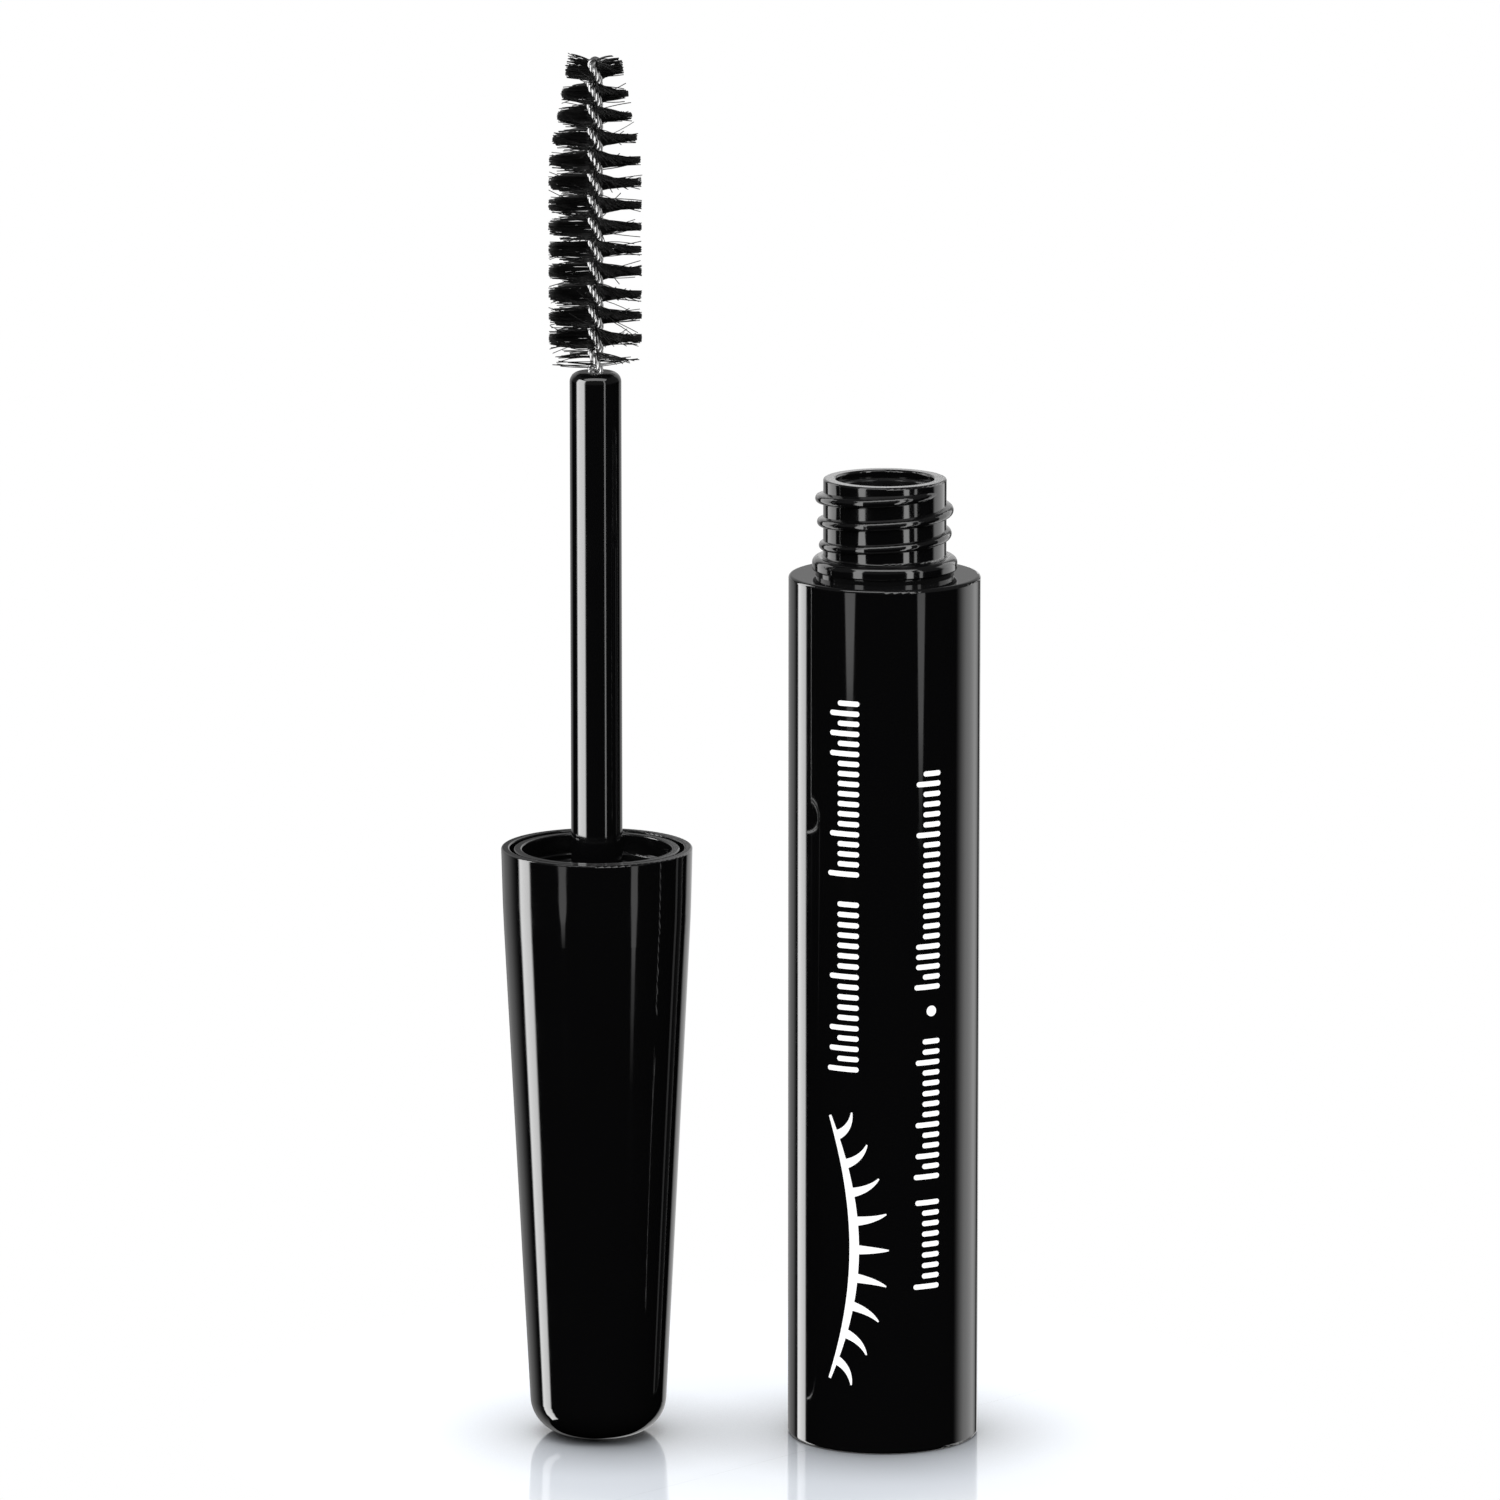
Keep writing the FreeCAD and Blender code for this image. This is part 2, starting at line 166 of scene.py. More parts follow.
# Other lights
EDGE_PANEL_SIZE = (1.0, 0.3)
EDGE_PANEL_RADIANCE = 4.0
EDGE_PANEL_PLACE = (BOTTLE_X - 0.02, -0.3, 0.6)
EDGE_PANEL_TILT = math.radians(30)
OVERHEAD_SIZE = (0.8, 0.8)
OVERHEAD_ENERGY = 4.2
OVERHEAD_PLACE = (-0.15, 0.1, 0.9)
OVERHEAD_TILT = (-math.radians(6), -math.radians(9), 0)
SKY_IN_REFLECTIONS = 0.12
HORIZON_BLEND = 0.06

# The table, which turns from a real surface into plain white between CLEAR and WHITE from its middle
TABLE_MIDDLE = (-12.5 * MM, 4 * MM)
TABLE_CLEAR = 27 * MM
TABLE_WHITE = 50 * MM
TABLE_HALF_SIZE = 30.0
TABLE_GAP = 0.02 * MM
# Painted contact shade: the table's bluish white is darkened by ambient occlusion within this distance of the
# objects
CONTACT_TINT = (0.82, 0.86, 0.92, 1)
PAINTED_SHADE_DISTANCE = 11 * MM
PAINTED_SHADE_SAMPLES = 8
TABLE_ROUGHNESS = (0.05, 0.09)
TABLE_CARD_HEIGHTS = (0, 0.45)
TABLE_CARD_RADIANCE = 1.0
TABLE_CARD_SOFT = 0.01

# Plastics.  The blacks are a little blue, and the gloss is rougher where it has been handled.
PLASTIC_IOR = 1.5
GLOSS_BLUE = 1.08
GRAIN_BLUE = 1.05
HANDLED_ROUGHNESS = 1.8
GRAIN_ROUGHNESS = (0.85, 1.1)
SHARP_ANGLE = math.radians(34)


# ---------------------------------------------------------------- materials

def new_material(name):
    """A node material with a fresh principled shader, as (material, tree, shader)."""
    material = bpy.data.materials.new(name)
    material.use_nodes = True
    tree = material.node_tree
    return material, tree, tree.nodes["Principled BSDF"]


def noise(tree, scale, detail, stretch=(1, 1, 1)):
    """A noise texture in object space, with its size in cycles per metre."""
    place = tree.nodes.new("ShaderNodeTexCoord")
    mapping = tree.nodes.new("ShaderNodeMapping")
    mapping.inputs["Scale"].default_value = stretch
    texture = tree.nodes.new("ShaderNodeTexNoise")
    texture.inputs["Scale"].default_value = scale
    texture.inputs["Detail"].default_value = detail
    tree.links.new(place.outputs["Object"], mapping.inputs["Vector"])
    tree.links.new(mapping.outputs["Vector"], texture.inputs["Vector"])
    return texture.outputs["Fac"]


def remap(tree, value, source, target, smooth=False):
    """A value in the source range spread over the target range, and held at the ends."""
    node = tree.nodes.new("ShaderNodeMapRange")
    if smooth:
        node.interpolation_type = "SMOOTHSTEP"
    node.inputs["From Min"].default_value = source[0]
    node.inputs["From Max"].default_value = source[1]
    node.inputs["To Min"].default_value = target[0]
    node.inputs["To Max"].default_value = target[1]
    tree.links.new(value, node.inputs["Value"])
    return node.outputs["Result"]


def bump(tree, height, depth, below=None):
    """A bump of a depth in metres, on top of another bump."""
    node = tree.nodes.new("ShaderNodeBump")
    node.inputs["Distance"].default_value = depth
    node.inputs["Strength"].default_value = 1.0
    tree.links.new(height, node.inputs["Height"])
    if below is not None:
        tree.links.new(below, node.inputs["Normal"])
    return node.outputs["Normal"]


def grey(tree, value):
    """A grey colour of one value."""
    node = tree.nodes.new("ShaderNodeCombineColor")
    for channel in ("Red", "Green", "Blue"):
        tree.links.new(value, node.inputs[channel])
    return node.outputs["Color"]


def gloss_plastic(name, shade, roughness, wave_depth, hairline_depth):
    """Polished black moulded plastic: slow waves from the mould, faint hairlines and handling marks."""
    material, tree, shader = new_material(name)
    shader.inputs["Base Color"].default_value = (shade, shade, shade * GLOSS_BLUE, 1)
    shader.inputs["IOR"].default_value = PLASTIC_IOR
    marks = noise(tree, scale=260, detail=6)
    handled = remap(tree, marks, (0.45, 0.75), (roughness, roughness * HANDLED_ROUGHNESS))
    tree.links.new(handled, shader.inputs["Roughness"])
    waves = noise(tree, scale=130, detail=1, stretch=(1, 1, 0.45))
    hairlines = noise(tree, scale=2600, detail=2, stretch=(1, 1, 0.05))
    surface = bump(tree, hairlines, hairline_depth, below=bump(tree, waves, wave_depth))
    tree.links.new(surface, shader.inputs["Normal"])
    return material


def grained_plastic(name, shade, roughness, grain, depth):
    """A matt or satin moulded surface with a fine even grain."""
    material, tree, shader = new_material(name)
    shader.inputs["Base Color"].default_value = (shade, shade, shade * GRAIN_BLUE, 1)
    speck = noise(tree, scale=grain, detail=2)
    uneven = remap(tree, speck, (0.3, 0.7), [roughness * part for part in GRAIN_ROUGHNESS])
    tree.links.new(uneven, shader.inputs["Roughness"])
    tree.links.new(bump(tree, speck, depth), shader.inputs["Normal"])
    return material


def wet_cream(name):
    """Black mascara cream: wet, with soft lumps."""
    material, tree, shader = new_material(name)
    shader.inputs["Base Color"].default_value = (0.004, 0.004, 0.005, 1)
    shader.inputs["Roughness"].default_value = 0.16
    shader.inputs["Coat Weight"].default_value = 0.6
    lumps = noise(tree, scale=900, detail=3)
    tree.links.new(bump(tree, lumps, 0.12 * MM), shader.inputs["Normal"])
    return material


def steel_wire(name):
    """Bright drawn stainless wire, a little uneven in tone and surface."""
    material, tree, shader = new_material(name)
    tone = remap(tree, noise(tree, scale=3000, detail=2), (0.3, 0.7), (0.62, 0.86))
    tree.links.new(grey(tree, tone), shader.inputs["Base Color"])
    shader.inputs["Metallic"].default_value = 1.0
    shader.inputs["Roughness"].default_value = 0.24
    draw_marks = noise(tree, scale=9000, detail=2)
    tree.links.new(bump(tree, draw_marks, 0.004 * MM), shader.inputs["Normal"])
    return material


def nylon(name):
    """Black nylon filament, a little paler in patches."""
    material, tree, shader = new_material(name)
    tone = remap(tree, noise(tree, scale=700, detail=3), (0.35, 0.7), (0.003, 0.012))
    tree.links.new(grey(tree, tone), shader.inputs["Base Color"])
    shader.inputs["Roughness"].default_value = 0.38
    return material


def screen_ink_painted_glow(name):
    """White screen-print ink: slightly uneven cover, a satin surface, and a painted glow (emission, though
    the ink is no lamp) to keep it white.
    """
    material, tree, shader = new_material(name)
    cover = remap(tree, noise(tree, scale=1800, detail=4), (0.25, 0.6), (0.8, 0.92))
    white = grey(tree, cover)
    tree.links.new(white, shader.inputs["Base Color"])
    # Painted glow: the ink's white is also its emission colour, so the print lights itself
    tree.links.new(white, shader.inputs["Emission Color"])
    shader.inputs["Emission Strength"].default_value = 0.35
    shader.inputs["Roughness"].default_value = 0.42
    mesh_marks = noise(tree, scale=4000, detail=2)
    tree.links.new(bump(tree, mesh_marks, 0.004 * MM), shader.inputs["Normal"])
    return material


# ---------------------------------------------------------------- mesh helpers

def mesh_piece(name, points, faces, material, smooth=True):
    """A mesh object from points and faces."""
    mesh = bpy.data.meshes.new(name)
    mesh.from_pydata([tuple(p) for p in points], [], faces)
    mesh.polygons.foreach_set("use_smooth", [smooth] * len(mesh.polygons))
    mesh.materials.append(material)
    mesh.update()
    piece = bpy.data.objects.new(name, mesh)
    bpy.context.scene.collection.objects.link(piece)
    return piece


def ring(centre, radius, across, up, sides):
    """Points round a centre, in the plane of two directions."""
    points = []
    for s in range(sides):
        turn = TAU * s / sides
        points.append(centre + radius * (math.cos(turn) * across + math.sin(turn) * up))
    return points


def tube_faces(rings, sides, first):
    """The faces of a closed tube whose points start at index first, ring by ring."""
    faces = []
    for r in range(rings - 1):
        for s in range(sides):
            a = first + r * sides + s
            b = first + r * sides + (s + 1) % sides
            faces.append((a, b, b + sides, a + sides))
    faces.append(tuple(first + s for s in reversed(range(sides))))
    faces.append(tuple(first + (rings - 1) * sides + s for s in range(sides)))
    return faces


def unit(v):
    """v at length 1, for one vector or a row of them."""
    return v / np.linalg.norm(v, axis=-1, keepdims=True)


def carried_frames(path):
    """Two directions across a path at each of its points, turning as little as they can along it."""
    along = unit(np.gradient(path, axis=0))
    across = [unit(np.cross(along[0], [0, 1, 0.1]))]
    for i in range(1, len(path)):
        moved = across[-1] - along[i] * np.dot(across[-1], along[i])
        across.append(unit(moved))
    across = np.array(across)
    return across, np.cross(along, across)


# ---------------------------------------------------------------- twisted wire

def strand_angle(z):
    """Where one strand of the left-hand twist stands at a height."""
    return -TAU * (z - ROD_TOP) / TWIST_PITCH


def wire_path():
    """The middle of the folded wire: up one strand, over the fold, and down the other."""
    foot = ROD_TOP - WIRE_INSIDE_ROD
    fold = WIRE_TOP - STRAND_RADIUS - STRAND_ORBIT
    heights = np.linspace(foot, fold, STRAND_STEPS)
    angle = strand_angle(heights)
    up = np.stack([STRAND_ORBIT * np.cos(angle), STRAND_ORBIT * np.sin(angle), heights], 1)
    down = up[::-1] * np.array([-1, -1, 1])
    swing = np.linspace(0, math.pi, FOLD_STEPS)[1:-1, None]
    across = up[-1] * np.array([1, 1, 0])
    bend = fold * UPWARD + across * np.cos(swing) + STRAND_ORBIT * UPWARD * np.sin(swing)
    return np.concatenate([up, bend, down]) + np.array([WAND_X, 0, 0])


def build_wire(material):
    """The folded and twisted wire, laid up like a rope from three fine wires."""
    path = wire_path()
    side_a, side_b = carried_frames(path)
    lengths = np.linalg.norm(np.diff(path, axis=0), axis=1)
    run = np.concatenate([[0], np.cumsum(lengths)])
    fine_orbit = STRAND_RADIUS - FINE_WIRE_RADIUS
    points = []
    faces = []
    for k in range(FINE_WIRES):
        lay = TAU * (run / LAY_PITCH + k / FINE_WIRES)
        middle = path + fine_orbit * (np.cos(lay)[:, None] * side_a + np.sin(lay)[:, None] * side_b)
        across, up = carried_frames(middle)
        faces += tube_faces(len(middle), FINE_WIRE_SIDES, len(points))
        for i in range(len(middle)):
            points += ring(middle[i], FINE_WIRE_RADIUS, across[i], up[i], FINE_WIRE_SIDES)
    return mesh_piece("twisted_wire", points, faces, material)


# ---------------------------------------------------------------- bristles

def brush_radius(z):
    """The trimmed outline of the brush: straight, then drawn in towards a round tip."""
    return np.interp((WIRE_TOP - z) / MM, OUTLINE_DEPTH, OUTLINE_RADIUS) * MM


def filament(draw, z, azimuth, above_row, in_foot):
    """The points of one filament, ring by ring, from between the strands out to its trimmed tip."""
    stray = LOOSE if draw.random() < LOOSE_SHARE else TIDY
    azimuth += draw.normal(0, stray["azimuth"])
    rise = draw.normal(0, stray["rise"])
    rise += max(0.0, 1 - (BRUSH_TOP - z) / TIP_FAN) * draw.uniform(*TIP_FAN_RISE)
    droop = draw.normal(0, stray["droop"])
    swirl = draw.normal(0, stray["swirl"])
    trim = min(1.0, draw.normal(TRIM_MEAN, TRIM_SPREAD))
    if in_foot:
        trim *= draw.uniform(*SPARSE_TRIM)
    reach = brush_radius(z) * trim
    root = np.array([WAND_X, 0, z + draw.normal(0, ROOT_SPREAD)])
    radius = FILAMENT_RADIUS * draw.uniform(*FILAMENT_THICKNESS)
    outward = np.array([math.cos(azimuth), math.sin(azimuth), 0])
    sideways = np.array([-outward[1], outward[0], 0])
    points = []
    for r in range(FILAMENT_RINGS):
        t = r / (FILAMENT_RINGS - 1)
        out = FILAMENT_ROOT + (reach - FILAMENT_ROOT) * t
        climb = out * (rise + droop * t) - BUNDLE * above_row * t * t
        centre = root + outward * out + UPWARD * climb + sideways * out * swirl * t
        points += ring(centre, radius, sideways, UPWARD, FILAMENT_SIDES)
    return points


def build_bristles(material):
    """Nylon filaments pinched between the strands, so that they leave the wire as two spiral rows."""
    draw = np.random.default_rng(BRISTLE_SEED)
    count = FILAMENTS_PER_ROW * BRUSH_ROWS
    points = []
    faces = []
    for i in range(count):
        place = (i + draw.uniform(-0.5, 0.5)) / count
        z = BRUSH_FOOT + (BRUSH_TOP - BRUSH_FOOT) * place
        in_foot = z < BRUSH_FOOT + SPARSE_FOOT
        if in_foot and draw.random() < SPARSE_MISSING:
            continue
        # a filament stands across the line between the strands, gathered a little to its row's middle
        row_turn = strand_angle(z) + math.pi / 2
        gathered = row_turn - GATHER * math.sin(2 * row_turn)
        off_row = (row_turn + math.pi / 2) % math.pi - math.pi / 2
        above_row = -off_row * TWIST_PITCH / TAU
        for end in (0, math.pi):
            faces += tube_faces(FILAMENT_RINGS, FILAMENT_SIDES, len(points))
            points += filament(draw, z, gathered + end, above_row, in_foot)
    return mesh_piece("bristle_filaments", points, faces, material)


# ---------------------------------------------------------------- print on the bottle

class Ink:
    """White print on the bottle.  Shapes are drawn with u around the body and v up it, in millimetres."""

    def __init__(self):
        self.points = []
        self.faces = []

    def on_body(self, u, v, lift):
        """A place on the body: u millimetres round to the right of the front, v millimetres up."""
        turn = u * MM / BODY_RADIUS
        radius = BODY_RADIUS + lift
        return (BOTTLE_X + radius * math.sin(turn), -radius * math.cos(turn), v * MM)

    def ribbon(self, rows):
        """A closed thin sheet between two edges: rows is a list of ((u, v), (u, v)) from edge to edge."""
        first = len(self.points)
        wide = INK_STEPS_ACROSS + 1
        layer = wide * len(rows)
        for lift in (INK_LIFT, -INK_LIFT):
            for (u0, v0), (u1, v1) in rows:
                for k in range(wide):
                    t = k / INK_STEPS_ACROSS
                    self.points.append(self.on_body(u0 + (u1 - u0) * t, v0 + (v1 - v0) * t, lift))
        for r in range(len(rows) - 1):
            for k in range(INK_STEPS_ACROSS):
                a = first + r * wide + k
                self.faces.append((a, a + 1, a + wide + 1, a + wide))
                self.faces.append((a + layer, a + layer + wide, a + layer + wide + 1, a + layer + 1))
        self.close_border(first, wide, len(rows))

    def close_border(self, first, wide, count):
        """The thin wall between the two layers of a sheet, all the way round its border."""
        across = wide - 1
        last = (count - 1) * wide
        border = [first + k for k in range(across)]
        border += [first + r * wide + across for r in range(count - 1)]
        border += [first + last + across - k for k in range(across)]
        border += [first + last - r * wide for r in range(count - 1)]
        layer = wide * count
        for a, b in zip(border, border[1:] + border[:1]):
            self.faces.append((a, a + layer, b + layer, b))

    def bar(self, u_mid, height, v_low, v_high):
        """A bar with round ends that runs up the body."""
        rounding = min(height, v_high - v_low) / 2
        rows = []
        for k in range(2 * BAR_END_STEPS + 1):
            if k <= BAR_END_STEPS:
                swing = math.pi / 2 * k / BAR_END_STEPS
                v = v_low + rounding * (1 - math.cos(swing))
            else:
                swing = math.pi / 2 * (2 * BAR_END_STEPS - k) / BAR_END_STEPS
                v = v_high - rounding * (1 - math.cos(swing))
            half = height / 2 - rounding + rounding * max(math.sin(swing), BAR_END_NARROWEST)
            rows.append(((u_mid - half, v), (u_mid + half, v)))
        self.ribbon(rows)

    def stroke(self, start, middle, end, widths, steps=STROKE_STEPS):
        """A curved stroke through three control points, with its width at the start, middle and end."""
        rows = []
        for k in range(steps + 1):
            t = k / steps
            a, b, c = (1 - t) ** 2, 2 * t * (1 - t), t ** 2
            u = a * start[0] + b * middle[0] + c * end[0]
            v = a * start[1] + b * middle[1] + c * end[1]
            du = 2 * (1 - t) * (middle[0] - start[0]) + 2 * t * (end[0] - middle[0])
            dv = 2 * (1 - t) * (middle[1] - start[1]) + 2 * t * (end[1] - middle[1])
            length = math.hypot(du, dv)
            half = (a * widths[0] + b * widths[1] + c * widths[2]) / 2
            rows.append(((u + dv / length * half, v - du / length * half),
                         (u - dv / length * half, v + du / length * half)))
        self.ribbon(rows)


def greeked_line(ink, draw, u_mid, height, words):
    """Stands for a line of words: each word is a run of plain thin bars, and nothing in it is a letter."""
    for v_low, v_high in words:
        count = round((v_high - v_low) / BAR_STEP)
        step = (v_high - v_low) / count
        for k in range(count):
            tall = height * (1.0 if k == 0 else draw.choice(BAR_HEIGHTS))
            v = v_low + step * k
            ink.bar(u_mid - (tall - height * min(BAR_HEIGHTS)) / 2, tall, v, v + BAR_WIDTH)


def lash_ornament(ink):
    """A closed eyelid line with lashes fanning out of it, standing on its side."""
    half = ORNAMENT_LENGTH / 2
    u_lid = ORNAMENT_U - LID_OFFSET
    lid_foot = (u_lid, ORNAMENT_V - half)
    lid_middle = (u_lid + 2 * LID_SAG, ORNAMENT_V)
    lid_top = (u_lid, ORNAMENT_V + half)
    ink.stroke(lid_foot, lid_middle, lid_top, LID_WIDTHS, steps=LID_STEPS)
    for i in range(LASHES):
        t = (i - (LASHES - 1) / 2) / ((LASHES - 1) / 2)
        v = ORNAMENT_V + t * half * LASH_SPAN
        u = u_lid + LID_SAG * (1 - (LASH_SPAN * t) ** 2)
        fan = LASH_FAN * t
        long = LASH_LENGTH - LASH_SHORTENING * t * t
        tip = (u + long * math.cos(fan), v + long * math.sin(fan))
        bend = (u + LASH_BEND_OUT * long * math.cos(LASH_BEND_FAN * fan),
                v + LASH_BEND_UP * long * math.sin(LASH_BEND_FAN * fan))
        ink.stroke((u + LASH_INSET, v), bend, tip, LASH_WIDTHS)


def build_print(material):
    """All the white print: the ornament and two lines of bars, reading up the bottle."""
    draw = np.random.default_rng(PRINT_SEED)
    ink = Ink()
    lash_ornament(ink)
    greeked_line(ink, draw, LEFT_LINE_U, LEFT_LINE_HEIGHT, LEFT_WORDS)
    greeked_line(ink, draw, RIGHT_LINE_U, RIGHT_LINE_HEIGHT, RIGHT_WORDS)
    ink.bar(RIGHT_LINE_U, DOT_SIZE, DOT_LOW, DOT_LOW + DOT_SIZE)
    return mesh_piece("body_print", ink.points, ink.faces, material, smooth=False)


# ---------------------------------------------------------------- the object

finishes = {
    "body_shell": gloss_plastic("gloss_black_shell", 0.0035, 0.045, 0.010 * MM, 0.00012 * MM),
    "cap_shell": gloss_plastic("gloss_black_cap", 0.0035, 0.05, 0.008 * MM, 0.00012 * MM),
    "vial": gloss_plastic("gloss_black_neck", 0.0035, 0.07, 0.012 * MM, 0.0002 * MM),
    "inner_cap": gloss_plastic("semi_gloss_black_liner", 0.004, 0.12, 0.008 * MM, 0.0003 * MM),
    "rod": gloss_plastic("gloss_black_rod", 0.0035, 0.06, 0.004 * MM, 0.00015 * MM),
    "base_plug": grained_plastic("eroded_black_plug", 0.010, 0.5, 5200, 0.012 * MM),
    "wiper": grained_plastic("waxy_black_wiper", 0.008, 0.3, 1500, 0.006 * MM),
    "seal_washer": grained_plastic("foam_grey_washer", 0.05, 0.8, 6000, 0.03 * MM),
    "formula": wet_cream("wet_black_cream"),
}
for node, finish in finishes.items():
    mesh = nodes[node].data
    mesh.materials.clear()
    mesh.materials.append(finish)
    mesh.polygons.foreach_set("use_smooth", [True] * len(mesh.polygons))
    mesh.set_sharp_from_angle(angle=SHARP_ANGLE)

wire = build_wire(steel_wire("bright_steel_wire"))
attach(wire, "wand")
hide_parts("core_wire")

bristles = build_bristles(nylon("black_nylon"))
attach(bristles, "wand")
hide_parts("bristles")

body_print = build_print(screen_ink_painted_glow("white_ink_painted_glow"))
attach(body_print, "bottle")


# ---------------------------------------------------------------- lights

def light_group(name, node_names, pieces=()):
    """A collection of CAD nodes and pieces, for a light to fall on or be blocked by."""
    group = bpy.data.collections.new(name)
    for o in [nodes[n] for n in node_names] + list(pieces):
        group.objects.link(o)
    return group


def area_light(name, size, energy, location, rotation):
    """A rectangular area light."""
    data = bpy.data.lights.new(name, "AREA")
    data.shape = "RECTANGLE"
    data.size, data.size_y = size
    data.energy = energy
    light = bpy.data.objects.new(name, data)
    light.location = location
    light.rotation_euler = rotation
    bpy.context.scene.collection.objects.link(light)
    return light


def energy_for(size, radiance):
    """The energy that gives an area light of a size its radiance."""
    return math.pi * size[0] * size[1] * radiance


def maths(tree, operation, a, b):
    """One step of arithmetic on two values, each a number or a socket."""
    node = tree.nodes.new("ShaderNodeMath")
    node.operation = operation
    for socket, value in zip(node.inputs, (a, b)):
        if isinstance(value, (int, float)):
            socket.default_value = value
        else:
            tree.links.new(value, socket)
    return node.outputs["Value"]


def soften(data, soft, soft_foot, taper):
    """Fade an area light's face towards its sides and foot, and narrow it towards its foot."""
    data.use_nodes = True
    tree = data.node_tree
    tree.nodes.clear()
    place = tree.nodes.new("ShaderNodeNewGeometry")
    split = tree.nodes.new("ShaderNodeSeparateXYZ")
    tree.links.new(place.outputs["Parametric"], split.inputs["Vector"])
    up = split.outputs["Y"]
    off_middle = maths(tree, "ABSOLUTE", maths(tree, "SUBTRACT", split.outputs["X"], 0.5), 0)
    aside = maths(tree, "MULTIPLY", off_middle, 2.0)
    half_width = maths(tree, "ADD", maths(tree, "MULTIPLY", up, taper), 1 - taper)
    glow = remap(tree, maths(tree, "DIVIDE", aside, half_width), (1 - soft, 1.0), (1.0, 0.0), smooth=True)
    if soft_foot:
        down = maths(tree, "SUBTRACT", 1.0, up)
        glow = maths(tree, "MULTIPLY", glow, remap(tree, down, (1 - soft_foot, 1.0), (1.0, 0.0), smooth=True))
    emission = tree.nodes.new("ShaderNodeEmission")
    tree.links.new(glow, emission.inputs["Strength"])
    output = tree.nodes.new("ShaderNodeOutputLight")
    tree.links.new(emission.outputs["Emission"], output.inputs["Surface"])


def card(name, group, x, angles, heights, radiance, soft=0.3, soft_foot=0.0, taper=0.0, blockers=None):
    """A soft-edged light panel beside the object, seen only in the reflections of a group.

    x is the axis that it stands round.  angles are degrees round from the front, with the left side
    negative.  soft is the part of each half that fades, soft_foot the part of the height that fades at
    the bottom, and taper narrows the bottom.  A card with no blockers is blocked by its own group.
    """
    turn = math.radians((angles[0] + angles[1]) / 2)
    half_angle = math.radians((angles[1] - angles[0]) / 2)
    size = (2 * CARD_DISTANCE * math.tan(half_angle), heights[1] - heights[0])
    outward = Vector((math.sin(turn), -math.cos(turn), 0))
    location = Vector((x, 0, (heights[0] + heights[1]) / 2)) + outward * CARD_DISTANCE
    panel = area_light(name, size, energy_for(size, radiance), location, (math.pi / 2, 0, turn))
    soften(panel.data, soft, soft_foot, taper)
    panel.visible_camera = False
    panel.visible_diffuse = False
    panel.visible_transmission = False
    panel.light_linking.receiver_collection = group
    panel.light_linking.blocker_collection = blockers or group


# What each light falls on, and what stands in the way of a card that has its own blockers
bottle_group = light_group("lit_bottle", ("body_shell", "base_plug", "formula"), [body_print])
neck_group = light_group("lit_neck", ("vial", "wiper"))
cap_group = light_group("lit_cap", ("cap_shell", "inner_cap", "seal_washer"))
rod_group = light_group("lit_rod", ("rod",))
bristle_group = light_group("lit_bristles", (), [bristles])
wire_group = light_group("lit_wire", (), [wire])
edge_group = light_group("lit_edges", ("body_shell", "vial", "cap_shell", "inner_cap", "rod"))
wand_pieces = light_group("wand_pieces", ("cap_shell", "inner_cap", "rod"), [bristles])
bottle_pieces = light_group("bottle_pieces", ("body_shell", "vial", "wiper"))
object_pieces = light_group("object_pieces", finishes, [bristles])

card("bottle_key", bottle_group, BOTTLE_X, (-129, -107), TALL, 6.6, soft=0.35)
card("bottle_left_edge", bottle_group, BOTTLE_X, (-184, -130), LOW, 0.42, soft=0.5)
card("bottle_right_band", bottle_group, BOTTLE_X, (94, 158), LOW, 1.45, soft=0.75)
card("bottle_right_edge", bottle_group, BOTTLE_X, (160, 184), LOW, 0.9)
card("bottle_front_left", bottle_group, BOTTLE_X, (-52, -33), BOTTLE_LEFT_STREAK, 1.9,
     soft=0.2, soft_foot=0.4, taper=0.75)
card("bottle_front_right", bottle_group, BOTTLE_X, (37, 50), BOTTLE_RIGHT_STREAK, 1.6,
     soft=0.2, soft_foot=0.4, taper=0.75)
card("bottle_back", bottle_group, BOTTLE_X, (140, 220), UP_HIGH, 0.30, blockers=bottle_pieces)

card("neck_back", neck_group, BOTTLE_X, (140, 220), UP_HIGH, 0.30, blockers=bottle_pieces)
card("neck_left", neck_group, BOTTLE_X, (-136, -104), TALL, 2.6, soft=0.2, blockers=bottle_pieces)
card("neck_left_edge", neck_group, BOTTLE_X, (-184, -142), TALL, 0.5, soft=0.4, blockers=bottle_pieces)
card("neck_front_left", neck_group, BOTTLE_X, (-52, -36), TALL, 5.0, soft=0.15, blockers=bottle_pieces)
card("neck_front_right", neck_group, BOTTLE_X, (34, 46), TALL, 5.2, soft=0.2, blockers=bottle_pieces)
card("neck_thin_line", neck_group, BOTTLE_X, (56, 62), TALL, 3.0, soft=0.2, blockers=bottle_pieces)
card("neck_right", neck_group, BOTTLE_X, (100, 152), TALL, 1.7, blockers=bottle_pieces)
card("neck_right_edge", neck_group, BOTTLE_X, (160, 184), TALL, 0.5, blockers=bottle_pieces)

card("cap_key", cap_group, WAND_X, (-110, -86), TALL, 9.5, soft=0.4)
card("cap_left_edge", cap_group, WAND_X, (-182, -112), TALL, 0.46, soft=0.8)
card("cap_right_edge", cap_group, WAND_X, (138, 182), TALL, 0.75, soft=0.35)
card("cap_front_left", cap_group, WAND_X, (-50, -33), CAP_LEFT_STREAK, 1.5,
     soft=0.25, soft_foot=0.35, taper=0.85)
card("cap_front_right", cap_group, WAND_X, (41, 53), CAP_RIGHT_STREAK, 1.5,
     soft=0.25, soft_foot=0.35, taper=0.7)

